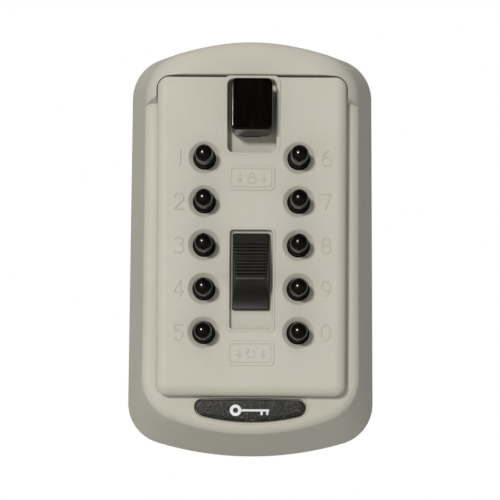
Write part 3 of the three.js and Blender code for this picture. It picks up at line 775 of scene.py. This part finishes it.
def lid_blocks():
    """The thick floor behind the open thumb, the screws' bosses and the toes the lid tilts on."""
    blocks = [block("well_block", (-7.3, 7.3), (-34, -31.2), (19.8, SKIRT_Z[1] - 0.5), 0.5)]
    for x, z in POSTS:
        reach = sorted((copysign(15, x), copysign(INSIDE_X[1] + 0.5, x)))
        blocks.append(block("boss", reach, (-34, -28.3), about(z, 1.9), 0.6))
    for x in (-12, 12):
        blocks.append(block("toe", about(x, 3), (-27.5, -25.5), (LID_Z[0], SKIRT_Z[0] + 1), 0.5, 0.4))
    return blocks


def swept(neck_z, down, up, gap):
    """The heights a slot needs for a neck that moves down and up in it, with a gap at both ends."""
    return (neck_z[0] - down - gap, neck_z[1] + up + gap)


def lid_wells():
    """Cutters for the thumbs' wells, the slots in their floors and the latch's slot in the skirt."""
    open_slot_z = swept(OPEN_NECK_Z, OPEN_DOWN, OPEN_UP, NECK_GAP)
    clear_slot_z = swept(CLEAR_NECK_Z, CLEAR_DOWN, 0, NECK_GAP)
    return [
        well("open_well", lambda y, grow: rectangle(OPEN_WELL_X, OPEN_WELL_Z, 1.5, y, grow),
             FACE_Y - 0.2, OPEN_WELL_Y, 0.15, 0.4),
        well("clear_well", lambda y, grow: rectangle(CLEAR_WELL_X, CLEAR_WELL_Z, 0.9, y, grow),
             FACE_Y - 0.2, CLEAR_WELL_Y, 0.2, 0.25),
        opening("open_slot", SLOT_X, (OPEN_WELL_Y, -31.2), open_slot_z),
        opening("clear_slot", SLOT_X, (CLEAR_WELL_Y, LID_WALL_BACK_Y), clear_slot_z),
        block("tongue_slot", (-4, 4), (-27, -25), about(SKIRT_Z[1], 3), 0.3, 0.05),
    ]


def button_dishes():
    """Cutters for the buttons' holes, each at the bottom of a coned dish with rounded rims."""
    dish_r, hole_r = 4.0, 2.75
    cone = [(3.9, 0.02), (3.76, 0.09), (3.64, 0.18), (3.06, 0.68), (2.92, 0.77), (2.8, 0.86), (hole_r, 1.0)]
    profile = [(0, FACE_Y - 2), (dish_r, FACE_Y - 2), (dish_r, FACE_Y)]
    profile += [(radius, FACE_Y + depth) for radius, depth in cone]
    profile += [(hole_r, LID_WALL_BACK_Y + 1), (0, LID_WALL_BACK_Y + 1)]
    return [turned("dish", profile, x, z, 64) for x, z in BUTTON_AT.values()]


def lid_marks():
    """The digits beside the buttons and the marks on the labels."""
    right_digit, left_digit, arrow_x = 6.65, -6.15, 2.9
    strokes = []
    for label, (x, z) in BUTTON_AT.items():
        strokes += emboss(digit_strokes(label), x + (right_digit if x > 0 else left_digit), z, FACE_Y)
    marks = {"open": open_padlock_strokes(), "clear": reset_strokes()}
    for name, z in LABELS_Z.items():
        for x, mark in ((0, marks[name]), (-arrow_x, arrow_strokes()), (arrow_x, arrow_strokes())):
            strokes += emboss(mark, x, middle(z), FACE_Y - LABEL_HEIGHT, 0.15, 0.16)
    return strokes


def label_grooves():
    """Cutters for the thin line that runs round each label."""
    inset, y = 0.75, FACE_Y - LABEL_HEIGHT
    grooves = []
    for z in LABELS_Z.values():
        line = rectangle(LABEL_X, z, 0.7 + inset, y, -inset)
        grooves.append(worm("groove", [(px, pz) for px, _, pz in line], 0.15, 0.14, y, True))
    return grooves


def make_lid():
    """The lid: a skirted shell with the thumbs' wells, the buttons' dishes, labels and digits."""
    edge = 0.25
    rings = [lid_ring(LID_BACK_Y, edge, edge), lid_ring(LID_BACK_Y - edge, 0, 0)]
    for inset, left in rounding(LID_ROUND, 14):
        rings.append(lid_ring(FACE_Y + left, inset, inset * LID_TOP_ROUND / LID_ROUND))
    lid = loft("lid_casting", rings)
    skirt = block("skirt", SKIRT_X, (-33, LID_Y[1]), SKIRT_Z, 1.5, 0.4)
    join(lid, skirt, *lid_pads())
    cut(lid, lid_pocket())
    join(lid, *lid_blocks())
    post_holes = [blind_bore("post_hole", SCREW_BORE_R, (-31, -28.3), x, z) for x, z in POSTS]
    cut(lid, *lid_wells(), *button_dishes(), *post_holes)
    join(lid, *lid_marks())
    return cut(lid, *label_grooves())


# ---------- thumbs and buttons ----------

def make_open_thumb():
    """The glossy block that pulls the latch down, on a neck that passes through its slot."""
    _, (front, back), (low, high) = span("open_thumb")
    rings = [rectangle((-4.9, 4.85), (low + 0.1, high), 1.6, OPEN_WELL_Y - GAP)]
    for inset, left in rounding(0.5, 8):
        rings.append(rectangle((-5.0, 4.85), (low - 0.12, high), 1.3, front + left, -inset))
    neck = block("neck", OPEN_NECK_X, (-34, back), OPEN_NECK_Z, 0.4)
    hole = blind_bore("thumb_hole", SCREW_BORE_R, (-31.5, back), 0, middle(OPEN_NECK_Z))
    return cut(join(loft("open_thumb_moulding", rings), neck), hole)


CLEAR_THUMB_Z, CLEAR_THUMB_HALF = (-16.6, 1.9), 4.55
RIBS, RIB_DEPTH, RIB_FULLNESS = 10, 0.5, 0.7
HOLLOW_SWEEP = 2.8  # how late the hollow below the crest turns towards it


def clear_profile(z):
    """The front of the clear thumb, as y, at a height: a ribbed ramp, a crest and a hollow below it."""
    bottom, top = CLEAR_THUMB_Z
    crest_low, crest, ribs_end = -9.75, -9.2, -0.8
    top_y, bottom_y, crest_y = -35.9, -35.8, -40.3
    ramp_bow, crest_drop = 0.25, 0.05
    if z >= crest:
        t = (z - crest) / (top - crest)
        ramp = crest_y + (top_y - crest_y) * ((1 + ramp_bow) * t - ramp_bow * t * t)
        if z > ribs_end:
            return ramp
        phase = (z - crest) / ((ribs_end - crest) / RIBS)
        rib = abs(sin(pi * phase)) ** RIB_FULLNESS
        return ramp + RIB_DEPTH * (1 - rib)
    if z > crest_low:
        return crest_y + crest_drop * (crest - z)
    t = (crest_low - z) / (crest_low - bottom)
    return bottom_y + (crest_y - bottom_y + crest_drop) * (1 - t) ** HOLLOW_SWEEP


def make_clear_thumb():
    """The ribbed slide that clears the code, drawn as slices from its foot to its top."""
    seat = CLEAR_WELL_Y - GAP
    low, high = CLEAR_THUMB_Z
    slices, edge, corner = 240, 0.35, 0.42
    narrowing, over = 0.75, 5.3  # how much narrower each side is at this height over the seat
    rings = []
    for k in range(slices + 1):
        z = low + (high - low) * k / slices
        end = min(1.0, min(z - low, high - z) / edge)
        pull = edge * (1 - sqrt(max(0.0, 1 - (1 - end) ** 2)))
        top = clear_profile(z) + pull
        half_top = CLEAR_THUMB_HALF - narrowing * (seat - top) / over - pull
        right = [(CLEAR_THUMB_HALF - pull, seat)]
        right += round_corner(half_top - corner, top + corner, corner, 0, -90, 6)
        rings.append([(a, b, z) for a, b in right] + [(-a, b, z) for a, b in reversed(right)])
    back = span("clear_thumb")[1][1]
    neck = block("neck", CLEAR_NECK_X, (seat - 0.5, back), CLEAR_NECK_Z, 0.4)
    hole = blind_bore("thumb_hole", SCREW_BORE_R, (-30, back), 0, middle(CLEAR_NECK_Z))
    return cut(join(loft("clear_thumb_moulding", rings), neck), hole)


def make_button():
    """One push button on the axis, with its flange, barrel, tapered stem and dome."""
    _, (front, back), _ = span("button_1")
    tail_r, flange_r, barrel_r, barrel_round = 1.9, 3.3, 2.45, 0.22
    flange_y, barrel_front, edge = (-33.1, -32.2), -36.3, 0.1
    dome_r, dome_tall, dome_back, dome_steps = 2.05, 1.6, 0.6, 12
    dome_y = front + dome_back + dome_tall
    profile = [(0, back), (tail_r - 0.15, back), (tail_r, back - 0.15), (tail_r, flange_y[1])]
    profile += [(flange_r - edge, flange_y[1]), (flange_r, flange_y[1] - edge)]
    profile += [(flange_r, flange_y[0] + edge), (flange_r - edge, flange_y[0])]
    profile += [(barrel_r + edge, flange_y[0]), (barrel_r, flange_y[0] - edge)]
    profile.append((barrel_r, barrel_front + 0.35))
    profile += [(barrel_r - inset, barrel_front + left) for inset, left in rounding(barrel_round, 4)]
    profile += [(2.18, -36.32), (2.14, -36.42), (dome_r + 0.04, dome_y - 0.05)]
    turn = rounding(1, dome_steps)[1:-1]
    profile += [(dome_r * (1 - inset), dome_y - dome_tall * (1 - left)) for inset, left in turn]
    profile.append((0, dome_y - dome_tall))
    button = turned("button_moulding", profile, steps=64)
    return cut(button, blind_bore("button_bore", 1.3, (-34.5, back), 0, 0))


def make_code_shaft():
    """One code shaft on the axis: a pin, a gated barrel and a driver slot at the back."""
    _, (front, back), _ = span("code_shaft_1")
    pin_r, barrel_r, edge = 1.1, 1.7, 0.2
    groove_r = barrel_r - edge
    profile = [(0, front), (pin_r - 0.15, front), (pin_r, front + 0.15), (pin_r, -30.6)]
    profile += [(barrel_r - 0.15, -30.6), (barrel_r, -30.45), (barrel_r, -24.0)]
    profile += [(groove_r, -23.8), (groove_r, -23.0), (barrel_r, -22.8)]
    profile += [(barrel_r, back - edge), (barrel_r - edge, back), (0, back)]
    shaft = turned("code_shaft_turned", profile, steps=40)
    gate = block("gate", (-3, 3), (-26.9, -25.2), (0.6, 3), 0.2, 0.05)
    slot = block("driver_slot", (-3, 3), (back - 0.8, back + 1), (-0.35, 0.35), 0.05, 0.04)
    return cut(shaft, gate, slot)


# ---------- springs and screws ----------

COIL_STEPS, WIRE_SIDES = 28, 10  # per turn, and round the wire
END_CLOSING = 0.045  # how much closer the end coils lie than the middle ones


def coil(name, radius, wire, start, stop, turns, origin, along):
    """A compression spring with closed end coils; along is the axis it is wound on, Y or Z."""
    steps = int(turns * COIL_STEPS)
    length = stop - start - 2 * wire
    axis = Vector((0, 1, 0))
    rings = []
    for i in range(steps + 1):
        t = i / steps
        a = 2 * pi * turns * t
        travel = start + wire + length * (t - END_CLOSING * sin(2 * pi * t))
        radial = Vector((cos(a), 0, sin(a)))
        centre = radial * radius + axis * travel
        ring = []
        for k in range(WIRE_SIDES):
            b = 2 * pi * k / WIRE_SIDES
            p = centre + radial * (wire * cos(b)) + axis * (wire * sin(b))
            if along == "Z":
                p = Vector((p.x, -p.z, p.y))
            ring.append(tuple(p + Vector(origin)))
        rings.append(ring)
    return loft(name, rings)


def cross_recess(x, z, mouth):
    """Cutters for a cross recess at (x, z) that tapers in from a screw's head at y = mouth."""
    longer, shorter, corner = 0.95, 0.22, 0.08
    arms = []
    for wide, tall in ((longer, shorter), (shorter, longer)):
        rings = []
        for depth, share in ((0.6, 1.0), (0.0, 1.0), (-0.55, 0.55)):
            half_x = wide * share if wide > tall else wide
            half_z = tall * share if tall > wide else tall
            arm_x, arm_z = about(x, half_x), about(z, half_z)
            rings.append(rectangle(arm_x, arm_z, corner, mouth + depth, steps=3))
        arms.append(loft("recess", rings))
    return arms


def make_screw(name, node, head_r):
    """A pan-head screw driven from behind, with a rolled thread and a cross recess."""
    x, (tip, back), z = span(node)
    head_tall, rim_tall, head_steps = 1.0, 0.35, 6
    thread_r, root_r, pitch = 0.9, 0.72, 0.42
    front = back - head_tall
    profile = [(0, tip), (0.45, tip), (0.62, tip + 0.25)]
    at = tip + 0.35
    while at < front - 0.75:
        profile += [(thread_r, at), (thread_r, at + 0.06), (root_r, at + 0.2), (root_r, at + 0.26)]
        at += pitch
    profile += [(thread_r, front - 0.3), (thread_r, front), (head_r - 0.1, front), (head_r, front + 0.1)]
    profile.append((head_r, front + rim_tall))
    turn, rim_y = rounding(1, head_steps)[1:-1], front + rim_tall
    profile += [(head_r * (1 - inset), rim_y + (back - rim_y) * (1 - left)) for inset, left in turn]
    profile.append((0, back))
    screw = turned(name, profile, middle(x), middle(z), 32)
    return cut(screw, *cross_recess(middle(x), middle(z), back))


# ---------- plates inside ----------

def holes(places, radius, y):
    """Round cutters through a plate of thickness y."""
    return [bore("hole", radius, y, px, pz) for px, pz in places]


def make_strike_plate():
    """The plate in the hood that the latch's tongue hooks behind."""
    x, y, z = span("strike_plate")
    plate = block("strike_stamping", x, y, z, 0.8, 0.15)
    return cut(plate, *holes(strike_screw_places(), SCREW_PASS_R, y))


def make_lock_frame():
    """The plate behind the lid that carries the code shafts' front ends."""
    x, y, z = span("lock_frame")
    plate = block("lock_frame_plate", x, y, z, 1.5, 0.15)
    tools = holes(BUTTON_AT.values(), BUTTON_PASS_R, y) + holes(POSTS, SCREW_PASS_R, y)
    tools.append(opening("slot", SLOT_X, y, swept(OPEN_NECK_Z, OPEN_DOWN, OPEN_UP, SLOT_GAP)))
    tools.append(opening("slot", SLOT_X, y, swept(CLEAR_NECK_Z, CLEAR_DOWN, 0, SLOT_GAP)))
    return cut(plate, *tools)


def make_lock_cover():
    """The cover behind the lock: a stamped plate on four pillars, numbered at each code shaft."""
    x, (front, back), z = span("lock_cover")
    plate_front, boss_back, sunk = -20.4, -18.9, -20.0
    plate = block("lock_cover_plate", x, (plate_front, back), z, 1.5, 0.2)
    extras = []
    for px, pz in POSTS:
        reach = sorted((copysign(15, px), copysign(x[1], px)))
        extras.append(block("pillar", reach, (front, sunk), about(pz, 1.8), 0.6))
    for spring, side in (("latch_spring", 0), ("clear_spring", 5)):
        low = span(spring)[2][0]
        seat_x, seat_z = about(side, 1.6), (low - 1.7, low - 0.3)
        extras.append(block("spring_seat", seat_x, (-23.6, sunk), seat_z, 0.3))
    boss_r, edge = 3.0, 0.1
    boss = [(0, -19.6), (boss_r, -19.6), (boss_r, boss_back - edge), (2.85, boss_back), (0, boss_back)]
    extras += [turned("boss", boss, bx, bz) for bx, bz in BUTTON_AT.values()]
    extras += [worm("rib", [(-7, rib_z), (7, rib_z)], 0.7, 0.35, back) for rib_z in (-26.5, 4.25, 28.0)]
    join(plate, *extras)
    cut(plate, *holes(BUTTON_AT.values(), BUTTON_PASS_R, (plate_front, boss_back)),
        *holes(POSTS, SCREW_PASS_R, (front, back)))
    strokes = []
    for label, (bx, bz) in BUTTON_AT.items():
        mirrored = [([(-px, pz) for px, pz in path], closed) for path, closed in digit_strokes(label)]
        strokes += emboss(mirrored, bx - copysign(5.2, bx), bz, back, 0.17, 0.12, 0.72)
    return join(plate, *strokes)


def shaft_slots(name, up, down, y):
    """Slots round the code shafts of a plate that moves up and down past them."""
    half = 2
    return [opening(name, about(bx, half), y, (bz - up - half, bz + down + half), 1.9)
            for bx, bz in BUTTON_AT.values()]


def make_latch_plate():
    """The sliding plate that the open thumb pulls down, with its tongue and its spring's tab."""
    plate = block("latch_stamping", PLATE_X, LATCH_Y, (-28.4, 32.4), 1.2, 0.12)
    join(plate, block("tongue", (-3.5, 3.5), LATCH_Y, (30, 37.6), 0.7, 0.12),
         block("tab", (-1.6, 1.6), (-26, -20.9), (22.6, 23.6), 0.2, 0.1))
    window_z = swept(CLEAR_NECK_Z, CLEAR_DOWN + OPEN_UP, OPEN_DOWN, SLOT_GAP)
    tools = shaft_slots("slot", OPEN_UP, OPEN_DOWN, LATCH_Y)
    tools.append(opening("window", SLOT_X, LATCH_Y, window_z))
    return cut(plate, *tools, *holes([(0, middle(OPEN_NECK_Z))], SCREW_PASS_R, LATCH_Y))


def make_clear_plate():
    """The sliding plate that the clear thumb pulls down, notched for the latch, with its spring's tab."""
    plate = block("clear_stamping", PLATE_X, CLEAR_Y, (-26.2, 28), 1.2, 0.12)
    join(plate, block("tab", (3.4, 6.6), (-24.6, -20.9), (-2, -1), 0.2, 0.1))
    tools = shaft_slots("slot", 0, CLEAR_DOWN, CLEAR_Y)
    tools.append(opening("notch", (-7.4, 7.4), CLEAR_Y, (18, 40), 0.8))
    return cut(plate, *tools, *holes([(0, middle(CLEAR_NECK_Z))], SCREW_PASS_R, CLEAR_Y))


# ---------- badge ----------

def make_badge():
    """The badge: a plate with a rounded edge and a low step round its face."""
    _, (front, back), _ = span("badge")
    rings = [badge_outline(back, 0)]
    rings += [badge_outline(front + 0.12 + left, -inset) for inset, left in rounding(0.3, 5)]
    rings += [badge_outline(front + 0.06, -0.7), badge_outline(front, -1.1)]
    return loft("badge_plate", rings)


def make_badge_key():
    """A plain key, bow to the left, raised on the badge."""
    face = span("badge")[1][0]
    front, back = face - 0.13, face + 0.25
    bow_x, inner_r, outer_r, edge, steps = -3.6, 0.62, 1.42, 0.05, 40
    ring = [(inner_r, back), (outer_r, back), (outer_r, front + edge)]
    ring += [(outer_r - edge, front), (inner_r + edge, front), (inner_r, front + edge)]
    rings = []
    for i in range(steps):
        a = 2 * pi * i / steps
        rings.append([(bow_x + r * cos(a), y, BADGE_KEY_Z + r * sin(a)) for r, y in ring])
    bow = loft("badge_key", rings, closed=True)
    shank = block("shank", (-2.4, 4.6), (front, back), about(BADGE_KEY_Z, 0.28), 0.15, edge)
    tooth_z = (BADGE_KEY_Z - 1.15, BADGE_KEY_Z)
    teeth = [block("tooth", (x, x + 0.55), (front, back), tooth_z, 0.1, edge) for x in (2.5, 3.85)]
    return join(bow, shank, *teeth)


# ---------- assembly ----------

def place_at_buttons(master, node_prefix, material):
    """Copies of a piece made on the axis, one at each button, each riding with its own node."""
    for label, (x, z) in BUTTON_AT.items():
        piece = bpy.data.objects.new(f"{master.name}_{label}", master.data.copy())
        SCENE.collection.objects.link(piece)
        piece.data.transform(Matrix.Translation((x * MM, 0, z * MM)))
        place(piece, node_prefix + label, material)
    bpy.data.objects.remove(master)


# What is left of each spring's length at its joint's longer limit
BUTTON_SPRING_KEEP, LATCH_SPRING_KEEP, CLEAR_SPRING_KEEP = 0.306, 0.556, 0.532


def place_springs():
    """Coils for the button springs, which a pressed button squeezes, and for the slide springs, which a
    slide squeezes; each coil rides with its spring's node.
    """
    for label, (x, z) in BUTTON_AT.items():
        y = span("button_spring_" + label)[1]
        spring = coil(f"button_coil_{label}", 2.35, 0.2, y[0], y[1], 2.75, (x, 0, z), "Y")
        place(spring, "button_spring_" + label, SPRING)
        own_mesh(spring)
    slides = (("latch_spring", "open_slide", LATCH_SPRING_KEEP),
              ("clear_spring", "clear_travel", CLEAR_SPRING_KEEP))
    for node, joint, keep in slides:
        x, y, z = span(node)
        spring = coil(node + "_coil", 1.1, 0.25, z[0], z[1], 6, (middle(x), middle(y), 0), "Z")
        place(spring, node, SPRING)
        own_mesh(spring)


def place_screws():
    """The strike plate's and the cover's screws, and two with smaller heads in the thumbs."""
    heads = {"strike_screw_left": 1.8, "strike_screw_right": 1.8, "latch_screw": 1.7, "clear_screw": 1.7}
    for end in ("top_left", "top_right", "bottom_left", "bottom_right"):
        heads["cover_screw_" + end] = 1.8
    for node, head_r in heads.items():
        place(make_screw(node + "_turned", node, head_r), node, SCREW)


def assemble():
    for piece, node, material in (
        (make_case(), "case_body", CLAY),
        (make_lid(), "lid_shell", CLAY),
        (make_badge(), "badge", FOIL),
        (make_open_thumb(), "open_thumb", GLOSS),
        (make_clear_thumb(), "clear_thumb", CHARCOAL),
        (make_strike_plate(), "strike_plate", PLATED),
        (make_lock_frame(), "lock_frame", PLATED),
        (make_lock_cover(), "lock_cover", PLATED),
        (make_latch_plate(), "latch_plate", PLATED),
        (make_clear_plate(), "clear_plate", PLATED),
    ):
        place(piece, node, material)
    place(make_badge_key(), "badge", MARK, replaced=False)
    place_at_buttons(make_button(), "button_", BUTTON_BLACK)
    place_at_buttons(make_code_shaft(), "code_shaft_", BRASS)
    place_springs()
    place_screws()


# ---------- studio ----------

def make_studio_floor():
    """A plain floor below the box, softly rolled at its edge."""
    half, corner = 1400, 300
    top, bottom = -120, -123
    square = (-half, half)
    rings = []
    for height, inset in ((top, 4), (top - 0.4, 1), (bottom, 0)):
        ring = rectangle(square, square, corner, 0, -inset)
        rings.append([(x, z, height) for x, _, z in ring])
    floor = loft("studio_floor", rings)
    floor.data.materials.append(make_floor_finish())


AMBIENT_AHEAD, AMBIENT_BESIDE = tone(0.06, 0.06, 0.06), tone(0.25, 0.25, 0.255)
AMBIENT_ENDS = tone(1.12, 1.11, 1.1)  # above and below
AMBIENT_SIDES = (1.06, 0.94)  # how much brighter or dimmer it is to the left and to the right
MIRRORED_HIGH, MIRRORED_LOW = tone(0.012, 0.012, 0.012), tone(0.09, 0.088, 0.082)


def light_world():
    """White behind the box, a soft room that lights it, and a darker one that glossy parts mirror."""
    world = bpy.data.worlds.new("studio")
    SCENE.world = world
    world.use_nodes = True
    world.cycles.sampling_method = "NONE"
    world.node_tree.nodes.clear()
    w = NodeTree(world.node_tree)

    def ramp(value, low, high, out_low=0.0, out_high=1.0):
        return w.spread(value, low, high, out_low, out_high, interpolation_type="SMOOTHSTEP")

    def background(colour, strength=1.0):
        return w.add("ShaderNodeBackground", {"Color": colour, "Strength": strength}).outputs[0]

    way = w.add("ShaderNodeTexCoord").outputs["Generated"]
    x, y, z = w.add("ShaderNodeSeparateXYZ", {"Vector": way}).outputs
    rays = w.add("ShaderNodeLightPath").outputs
    steep = w.add("ShaderNodeMath", {0: z}, operation="ABSOLUTE").outputs[0]
    level = w.mix(ramp(y, -1, -0.3), AMBIENT_AHEAD, AMBIENT_BESIDE)
    room = background(w.mix(ramp(steep, 0.35, 1.0), level, AMBIENT_ENDS), ramp(x, -1, 1, *AMBIENT_SIDES))
    forward = ramp(y, 0.2, -0.3)
    front = w.mix(ramp(z, -0.15, -0.5), MIRRORED_HIGH, MIRRORED_LOW)
    mirrored = background(w.mix(forward, MIRRORED_LOW, front))
    lit = w.add("ShaderNodeMixShader", {0: rays["Is Glossy Ray"], 1: room, 2: mirrored}).outputs[0]
    seen = background(tone(1, 1, 1))
    shown = w.add("ShaderNodeMixShader", {0: rays["Is Camera Ray"], 1: lit, 2: seen}).outputs[0]
    w.add("ShaderNodeOutputWorld", {"Surface": shown})


KEY_WAY, KEY_REACH = (-0.31, -0.93, 0.19), 2.5  # from the middle of the lid's face to the lamp
KEY_POWER, KEY_RADIUS = 36.5, 0.17
KEY_COLOUR = (1.0, 0.975, 0.945)


def add_key_lamp():
    """A round, slightly warm lamp ahead of the box, to its left and a little above."""
    light = bpy.data.lights.new("key", "AREA")
    light.shape = "DISK"
    light.size = 2 * KEY_RADIUS
    light.energy = KEY_POWER
    light.color = KEY_COLOUR
    lamp = bpy.data.objects.new("key", light)
    way = Vector(KEY_WAY).normalized()
    lamp.location = Vector((0, FACE_Y * MM, 0)) + way * KEY_REACH
    lamp.rotation_euler = way.to_track_quat("Z", "Y").to_euler()
    SCENE.collection.objects.link(lamp)


CAMERA_PLACE = (0, -0.376, -0.0504)
CAMERA_LENS, CAMERA_SENSOR = 101.9, 36
CAMERA_ROLL = -0.33  # degrees
CAMERA_SHIFT_X, CAMERA_RISE = -0.0002, 0.4016


def drive_shift(data, camera, name, amount):
    """Shifts the lens only while the camera stands at its own place, square to the box's face."""
    driver = data.driver_add(name).driver
    height = driver.variables.new()
    height.name = "height"
    height.type = "TRANSFORMS"
    height.targets[0].id = camera
    height.targets[0].transform_type = "LOC_Z"
    driver.expression = f"{amount} if abs(height - {CAMERA_PLACE[2]}) < 0.0005 else 0"


def set_camera():
    """A view camera square to the face and level with the lid's foot, its lens raised to frame the box."""
    data = bpy.data.cameras.new("view_camera")
    data.lens = CAMERA_LENS
    data.sensor_width = CAMERA_SENSOR
    camera = bpy.data.objects.new("view_camera", data)
    camera.location = CAMERA_PLACE
    camera.rotation_euler = (pi / 2, radians(CAMERA_ROLL), 0)
    SCENE.collection.objects.link(camera)
    drive_shift(data, camera, "shift_x", CAMERA_SHIFT_X)
    drive_shift(data, camera, "shift_y", CAMERA_RISE)
    SCENE.camera = camera
    SCENE.view_settings.view_transform = "Standard"


assemble()
make_studio_floor()
light_world()
add_key_lamp()
set_camera()
bpy.context.view_layer.update()
